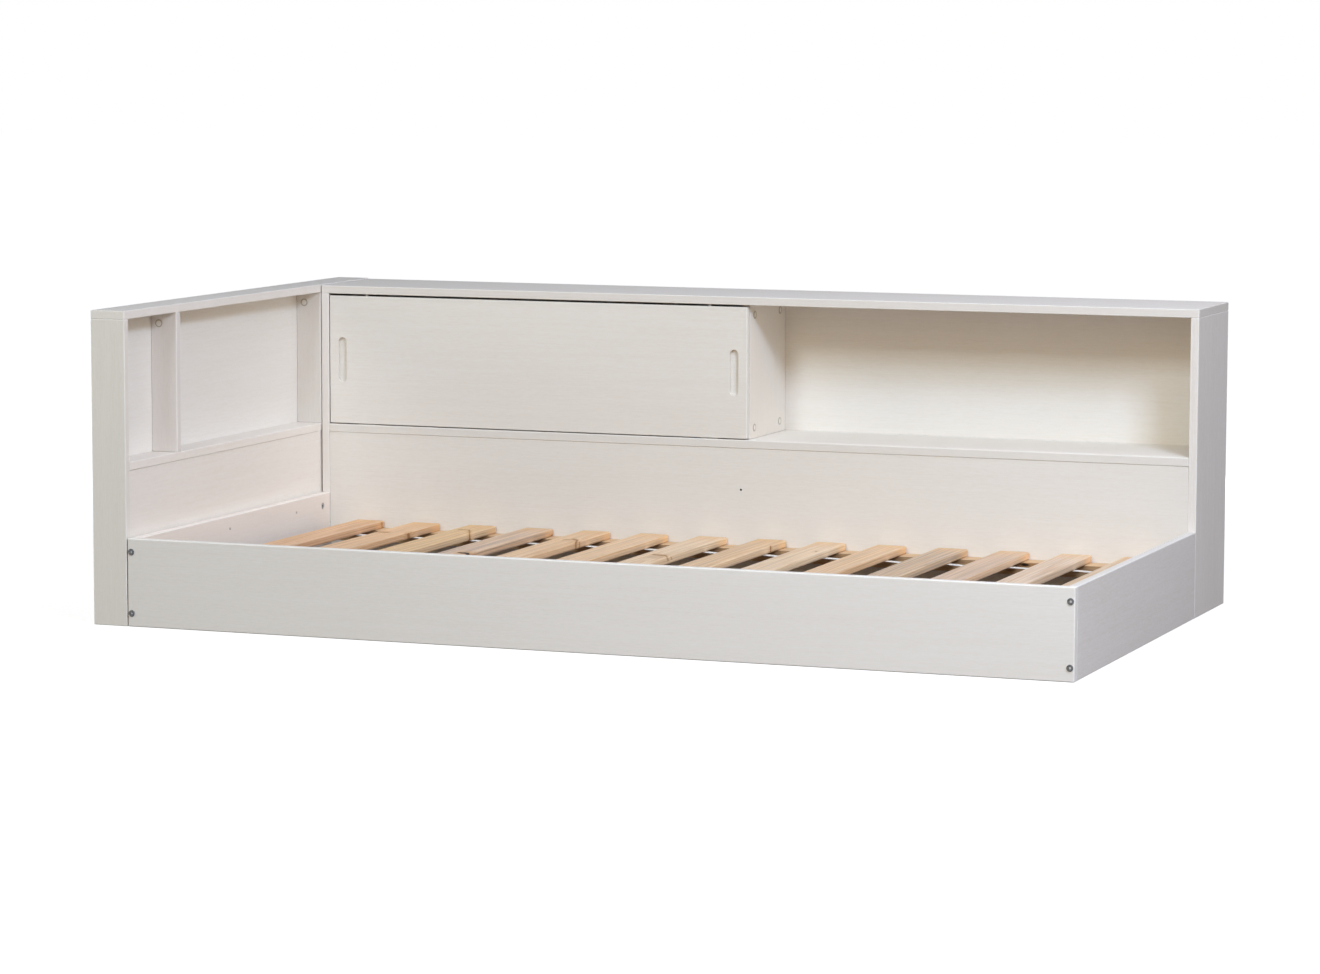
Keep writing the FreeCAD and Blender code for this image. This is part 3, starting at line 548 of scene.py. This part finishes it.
def knots(graph, place, axis, marks, ripple):
    """The core of each stroke with its colour, and the halo round all strokes.

    Knots stretch along the grain, so strokes are drawn in a space that is short along it.
    """
    short = Vector((KNOT_SHORTENING if letter == axis else 1.0 for letter in AXES))
    drawn = graph.vector(*(graph.product(place[AXES[index]], short[index]) for index in range(3)))
    cores = []
    halo = 0.0
    for start, end, half, depth in marks:
        away = stroke_distance(graph, drawn, start * short, end * short)
        away = graph.math("DIVIDE", away, half)
        away = graph.math("ADD", away, graph.product(graph.less(ripple, 0.5), KNOT_WAVER))
        core = graph.product(graph.falling(away, *KNOT_CORE), depth)
        cores.append((core, KNOT_BLACK if depth > KNOT_BLACK_DEPTH else KNOT_BROWN))
        halo = graph.math("MAXIMUM", halo, graph.product(graph.falling(away, *KNOT_HALO), depth))
    return cores, halo


def late_wood(graph, across, height, heart, noises, halo):
    """Is 1 in the dark part of each growth ring and 0 in the pale part."""
    from_heart = graph.less(across, heart[0] * MM)
    above_heart = graph.less(height, heart[1] * MM)
    radius = graph.total(
        graph.length(from_heart, above_heart),
        graph.product(noises["sway"], RING_SWAY),
        graph.product(noises["ripple"], RING_RIPPLE),
        graph.product(halo, RING_BEND_AT_KNOTS),
    )
    rings = graph.math("FRACT", graph.math("DIVIDE", radius, RING_PITCH))
    return graph.product(graph.smooth(rings, *RING_DARKENS), graph.falling(rings, *RING_STOPS))


def pine(name, axis, number, tint, heart, streak_share, marks, side_shading=WHITE):
    """Bare planed pine with growth rings round a heart outside the board, and knots.

    The heart is given across the board and below it in mm, from the middle of the board. Marks
    are strokes in the frame of the board in metres: two ends, half the width and depth of colour.
    The side tint paints light and shade onto the narrow faces, beside the wide ones.
    """
    graph = Graph("pine_" + name)
    place = graph.place()
    low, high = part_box(name)
    middle = (low + high) / 2
    across_axis = "x" if axis == "y" else "y"
    index = AXES.index(across_axis)
    noises = grain_noises(graph, place, axis, PINE_SHIFT * number, PINE_NOISES)
    cores, halo = knots(graph, place, axis, marks, noises["ripple"])
    across = graph.less(place[across_axis], middle[index])
    height = graph.less(place["z"], middle[2])
    late = late_wood(graph, across, height, heart, noises, halo)

    dark = colour(scaled(LATE_WOOD, tint))
    base = graph.mix(graph.product(late, LATE_SHARE), colour(scaled(EARLY_WOOD, tint)), dark)
    streaks = graph.product(graph.smooth(noises["streaks"], *STREAK_RANGE), streak_share)
    base = graph.mix(streaks, base, colour(scaled(GREY_WOOD, tint)))
    fibres = graph.product(graph.smooth(noises["fibres"], *FIBRE_RANGE), FIBRE_SHARE)
    base = graph.mix(fibres, base, dark)
    base = graph.mix(1.0, base, graph.ramp(noises["lines"], LINE_SHADES), "MULTIPLY")
    # painted warm bounce light towards the high end along the grain
    end_gap = graph.less(high[AXES.index(axis)], place[axis])
    warm = graph.product(graph.falling(end_gap, 0.0, WARM_END_REACH), WARM_END_SHARE)
    base = graph.mix(warm, base, colour(WARM_END))
    wear = graph.product(edge_mask(graph, place, (low, high)), PINE_WEAR)
    base = graph.mix(wear, base, colour(WORN_PINE))
    base = graph.mix(graph.product(halo, KNOT_HALO_SHARE), base, colour(KNOT_HALO_TONE))
    for core, brown in cores:
        base = graph.mix(core, base, colour(brown))

    from_low = graph.less(place[across_axis], low[index])
    from_high = graph.less(high[index], place[across_axis])
    sides = [graph.falling(gap, *SIDE_FACE) for gap in (from_low, from_high)]
    # painted light and shade on the narrow faces
    base = graph.mix(graph.math("MAXIMUM", *sides), base, colour(side_shading), "MULTIPLY")
    relief = graph.total(graph.product(noises["fibres"], 0.5), graph.product(late, 0.3))
    graph.bump(relief, strength=0.30, distance=0.5 * MM)
    roughness = graph.total(0.55, graph.product(noises["fibres"], 0.18))
    return graph.finish(base, roughness)


def disc_distance(graph, place, corners, axes, radius):
    """How far a point lies from the axis of the nearest of equal discs in the corners of a box."""
    low, high = corners
    offsets = []
    for axis in axes:
        index = AXES.index(axis)
        spread = (high[index] - low[index]) / 2 - radius
        offset = graph.less(place[axis], (low[index] + high[index]) / 2)
        offsets.append(graph.less(graph.math("ABSOLUTE", offset), spread))
    return graph.length(*offsets)


def steel(name, shades, plain_roughness):
    """Starts a material of steel: its graph, the noise of its dirt, its colour and roughness."""
    graph = Graph(name)
    graph.shader.inputs["Metallic"].default_value = 1.0
    dirt = graph.noise(graph.point(), detail=3.0, roughness=0.6, scale=STEEL_DIRT)
    base = graph.ramp(dirt, zip(SHADE_STOPS, shades))
    return graph, dirt, base, graph.total(plain_roughness, graph.product(dirt, 0.25))


def bolt_steel(node):
    """Blackened bolt heads, with a painted highlight in the key socket."""
    graph, dirt, black, roughness = steel("blackened_steel", BOLT_BLACKS, 0.34)
    away = disc_distance(graph, graph.place(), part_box(node), "xz", BOLT_HEAD / 2)
    base = graph.mix(graph.falling(away, *BOLT_SOCKET), black, colour(BOLT_SOCKET_HIGHLIGHT))
    graph.bump(dirt, strength=0.2, distance=0.1 * MM)
    return graph.finish(base, roughness)


def zinc_plating():
    """Plated steel with fine scratches."""
    graph, _, base, roughness = steel("zinc_plating", ZINC_GREYS, 0.30)
    drawn_out = graph.add("ShaderNodeMapping", Vector=graph.point(), Scale=ZINC_SCRATCHES)
    scratches = graph.noise(drawn_out.outputs[0], detail=2.0)
    graph.bump(scratches, strength=0.20, distance=0.1 * MM)
    return graph.finish(base, roughness)


def cap_plastic(node, axes, board):
    """Cover caps in the colour of their board, with painted shade in the groove round a raised
    middle.
    """
    graph = Graph("plastic_" + node)
    away = disc_distance(graph, graph.place(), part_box(node), axes, CAP / 2)
    mottle = graph.noise(graph.point(), detail=2.0, scale=PLASTIC_MOTTLE)
    paint = scaled(PAINT, PAINTED[board][1])
    shades = [scaled(paint, [shade] * 3) for shade in CAP_SHADES]
    middle = graph.ramp(mottle, zip(SHADE_STOPS, shades))
    # the groove round the cap is painted dark as shade
    rim = graph.product(graph.smooth(away, *CAP_GROOVE), CAP_RIM_SHADE_SHARE)
    base = graph.mix(rim, middle, colour(CAP_RIM_SHADE))
    graph.bump(mottle, strength=0.12, distance=0.1 * MM)
    return graph.finish(base, graph.total(0.42, graph.product(mottle, 0.15)))


def nylon():
    """Moulded nylon with a fine skin and faint mottling."""
    graph = Graph("nylon")
    mottle = graph.noise(graph.point(), detail=2.0, scale=PLASTIC_MOTTLE)
    skin = graph.noise(graph.point(), detail=3.0, roughness=0.6, scale=NYLON_SKIN)
    base = graph.ramp(mottle, zip(SHADE_STOPS, NYLON_WHITES))
    graph.bump(skin, strength=0.12, distance=0.1 * MM)
    return graph.finish(base, graph.total(0.40, graph.product(skin, 0.15)))


def webbing():
    """Woven white tape: a plain weave of warp and weft threads."""
    graph = Graph("woven_tape")
    place = graph.place()
    warp = graph.math("SINE", graph.product(place["y"], math.tau / WARP_PITCH))
    weft = graph.math("SINE", graph.product(place["x"], math.tau / WEFT_PITCH))
    threads = graph.math("MULTIPLY_ADD", graph.product(warp, weft), 0.5, 0.5)
    soil = graph.noise(graph.point(), detail=3.0, roughness=0.6, scale=SOIL_SCALE)
    base = graph.mix(threads, colour(THREAD_DARK), colour(THREAD_LIGHT))
    soiled = graph.product(graph.smooth(soil, *SOIL_RANGE), SOIL_SHARE)
    base = graph.mix(soiled, base, colour(TAPE_SOIL))
    graph.bump(threads, strength=0.6, distance=0.25 * MM)
    graph.shader.inputs["Sheen Weight"].default_value = 0.3
    return graph.finish(base, graph.total(0.72, graph.product(soil, 0.15)))


def dress(node, material):
    """Gives a node's object one material."""
    data = NODES[node].data
    data.materials.clear()
    data.materials.append(material)


def dress_boards():
    for number, (name, (axis, tint)) in enumerate(PAINTED.items(), start=1):
        dress(name, painted(name, axis, number, scaled(PAINT, tint)))


def slat_name(number):
    return f"slat_{number:02d}"


def dress_slats():
    for number, (tint, side_shading, across, below, streak_share) in enumerate(SLATS, start=1):
        name = slat_name(number)
        low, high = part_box(name)
        middle = (low + high) / 2
        origin = Vector((middle[0], high[1], middle[2]))
        turned = Vector((1, -1, 1)) * MM
        marks = [
            (origin + Vector(start) * turned, origin + Vector(end) * turned, half * MM, depth)
            for start, end, half, depth in MARKS.get(number, [])
        ]
        heart = (across, below)
        dress(name, pine(name, "y", number, tint, heart, streak_share, marks, side_shading))


def dress_ledgers():
    names = ("front_ledger", "back_ledger")
    for number, name in enumerate(names, start=FIRST_LEDGER_NUMBER):
        low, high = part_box(name)
        marks = []
        for along, below, half, depth in LEDGER_MARKS:
            start = Vector((along * MM, low[1], high[2] - below * MM))
            marks.append((start, start + Vector(LEDGER_STROKE) * MM, half * MM, depth))
        looks = (LEDGER_TINT, LEDGER_HEART, USUAL_STREAKS, marks, LEDGER_SIDE_SHADE)
        dress(name, pine(name, "x", number, *looks))


def dress_fittings():
    for names, material in ((ZINC_NODES, zinc_plating()), (NYLON_NODES, nylon())):
        for name in names:
            dress(name, material)
    dress("rail_bolts", bolt_steel("rail_bolts"))
    dress("divider_caps", cap_plastic("divider_caps", "yz", "unit_divider"))
    dress("head_caps", cap_plastic("head_caps", "xz", "head_upright"))
    for number, name in enumerate(("unit_dowels", "head_dowels"), start=FIRST_DOWEL_NUMBER):
        dress(name, pine(name, "y", number, DOWEL_TINT, DOWEL_HEART, USUAL_STREAKS, []))


def add_object(name, mesh):
    """Turns a bmesh into an object of the scene."""
    data = bpy.data.meshes.new(name)
    mesh.to_mesh(data)
    mesh.free()
    made = bpy.data.objects.new(name, data)
    bpy.context.scene.collection.objects.link(made)
    return made


def tape_path():
    """Points along a tape, as x and height: flat under each slat, with a sag in each gap."""
    boxes = [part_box(slat_name(number)) for number in range(1, len(SLATS) + 1)]
    slats = [(low[0], high[0]) for low, high in boxes]
    points = []
    for number, (left, right) in enumerate(slats):
        points += [(left, 0.0), (right, 0.0)]
        if number + 1 < len(slats):
            gap = slats[number + 1][0] - right
            sag = TAPE_SAG * (1.0 + SAG_SPREAD * math.sin(SAG_CHANGE * number))
            for step in range(1, SAG_STEPS):
                share = step / SAG_STEPS
                points.append((right + share * gap, -sag * math.sin(math.pi * share) ** 2))
    return points


def make_tape(name, node, material):
    """A woven tape that runs under the slats, with a bound edge on each side."""
    low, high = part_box(node)
    thickness = high[2] - low[2]
    half = (high[1] - low[1]) / 2
    middle = (high[1] + low[1]) / 2
    outline = [(middle + across * half, 0.5 + tall / 2) for across, tall in TAPE_SECTION]
    outline += [(middle + across * half, 0.5 - tall / 2) for across, tall in reversed(TAPE_SECTION)]
    mesh = bmesh.new()
    loops = []
    for x, drop in tape_path():
        heights = [low[2] + drop + share * thickness * TAPE_FULLNESS for _, share in outline]
        loops.append([mesh.verts.new((x, y, z)) for (y, _), z in zip(outline, heights)])
    for before, after in zip(loops, loops[1:]):
        for index in range(len(outline)):
            following = (index + 1) % len(outline)
            mesh.faces.new((before[index], before[following], after[following], after[index]))
    mesh.faces.new(list(reversed(loops[0])))
    mesh.faces.new(loops[-1])
    bmesh.ops.recalc_face_normals(mesh, faces=mesh.faces)
    tape = add_object(name, mesh)
    tape.data.shade_smooth()
    tape.data.materials.append(material)
    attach(tape, "frame")
    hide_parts(node)


def make_tapes():
    material = webbing()
    make_tape("back_tape", "back_slat_tape", material)
    make_tape("front_tape", "front_slat_tape", material)


def floor_white(graph):
    """How much white of its own the floor has, from place to place."""
    place = graph.place()
    shares = [graph.math("DIVIDE", place[axis], half) for axis, half in FLOOR_ELLIPSE.items()]
    distant = graph.smooth(graph.length(*shares), *FLOOR_GAIN_RANGE)
    whiteness = graph.math("MULTIPLY_ADD", distant, FLOOR_WHITE_GAIN, FLOOR_WHITE)
    # under the bed most of the white is left out, so the shadow there shows between the slats
    under = UNDER_SHARE
    for index, axis in enumerate("xy"):
        near, far = CAD_BOX[0][index] + UNDER_INSET, CAD_BOX[1][index] - UNDER_INSET
        under = graph.product(under, graph.smooth(place[axis], near, near + UNDER_FADE))
        under = graph.product(under, graph.falling(place[axis], far - UNDER_FADE, far))
    return graph.product(whiteness, graph.less(1.0, under))


def make_floor():
    """A pale floor that is white to the camera and keeps the shadow of the bed."""
    mesh = bmesh.new()
    signs = ((-1, -1), (1, -1), (1, 1), (-1, 1))
    mesh.faces.new([mesh.verts.new((x * FLOOR_HALF, y * FLOOR_HALF, 0.0)) for x, y in signs])
    floor = add_object("floor", mesh)
    graph = Graph("studio_floor")
    white = graph.add("ShaderNodeEmission", Color=colour(WHITE), Strength=floor_white(graph))
    shadowed = graph.add("ShaderNodeBsdfDiffuse", Color=colour(FLOOR_SHADOWED))
    both = graph.add("ShaderNodeAddShader")
    graph.feed(both.inputs[0], shadowed.outputs[0])
    graph.feed(both.inputs[1], white.outputs[0])
    plain = graph.add("ShaderNodeBsdfDiffuse", Color=colour(FLOOR_BOUNCE))
    graph.tree.nodes.remove(graph.shader)
    show_by_path(graph.tree, "Material Output", plain.outputs[0], both.outputs[0])
    floor.data.materials.append(graph.material)


def show_by_path(tree, output, lit, seen):
    """Uses one shader for what the camera sees, also by reflection, and another for other light."""
    path = tree.nodes.new("ShaderNodeLightPath")
    is_seen = path.outputs["Is Camera Ray"]
    for name in ("Is Glossy Ray", "Is Transmission Ray"):
        node = tree.nodes.new("ShaderNodeMath")
        node.operation = "MAXIMUM"
        tree.links.new(is_seen, node.inputs[0])
        tree.links.new(path.outputs[name], node.inputs[1])
        is_seen = node.outputs[0]
    choice = tree.nodes.new("ShaderNodeMixShader")
    for socket, content in zip(choice.inputs, (is_seen, lit, seen)):
        tree.links.new(content, socket)
    tree.links.new(choice.outputs[0], tree.nodes[output].inputs["Surface"])


def make_world():
    world = bpy.data.worlds.new("studio")
    bpy.context.scene.world = world
    world.use_nodes = True
    tree = world.node_tree
    lit = tree.nodes["Background"]
    white = tree.nodes.new("ShaderNodeBackground")
    for node, tone in ((lit, AMBIENT), (white, WHITE)):
        node.inputs["Color"].default_value = colour(tone)
        node.inputs["Strength"].default_value = 1.0
    show_by_path(tree, "World Output", lit.outputs[0], white.outputs[0])


def make_lights():
    for name, (place, target, size, watts, tint) in LIGHTS.items():
        light = bpy.data.lights.new(name, "AREA")
        light.shape = "RECTANGLE"
        light.size, light.size_y = size
        light.energy = watts
        light.color = tint
        lamp = bpy.data.objects.new(name, light)
        lamp.location = place
        aim = Vector(target) - Vector(place)
        lamp.rotation_euler = aim.to_track_quat("-Z", "Y").to_euler()
        bpy.context.scene.collection.objects.link(lamp)


def make_camera():
    angles = (CAMERA_YAW, CAMERA_PITCH, CAMERA_ROLL)
    yaw, pitch, roll = (math.radians(angle) for angle in angles)
    level_right = Vector((math.cos(yaw), math.sin(yaw), 0))
    level_ahead = Vector((-math.sin(yaw), math.cos(yaw), 0))
    up = Vector((0, 0, 1))
    ahead = math.cos(pitch) * level_ahead - math.sin(pitch) * up
    tipped_up = math.cos(pitch) * up + math.sin(pitch) * level_ahead
    right = math.cos(roll) * level_right + math.sin(roll) * tipped_up
    top = math.cos(roll) * tipped_up - math.sin(roll) * level_right
    data = bpy.data.cameras.new("camera")
    data.sensor_fit = "HORIZONTAL"
    data.sensor_width = SENSOR
    data.lens = FOCAL_PIXELS * SENSOR / IMAGE_WIDTH
    data.clip_end = 100
    camera = bpy.data.objects.new("camera", data)
    turn = Matrix((right, top, -ahead)).transposed().to_4x4()
    camera.matrix_world = Matrix.Translation(CAMERA_PLACE) @ turn
    bpy.context.scene.collection.objects.link(camera)
    bpy.context.scene.camera = camera


dress_boards()
dress_slats()
dress_ledgers()
dress_fittings()
make_tapes()
make_floor()
make_world()
make_lights()
make_camera()
bpy.context.scene.view_settings.view_transform = "Standard"
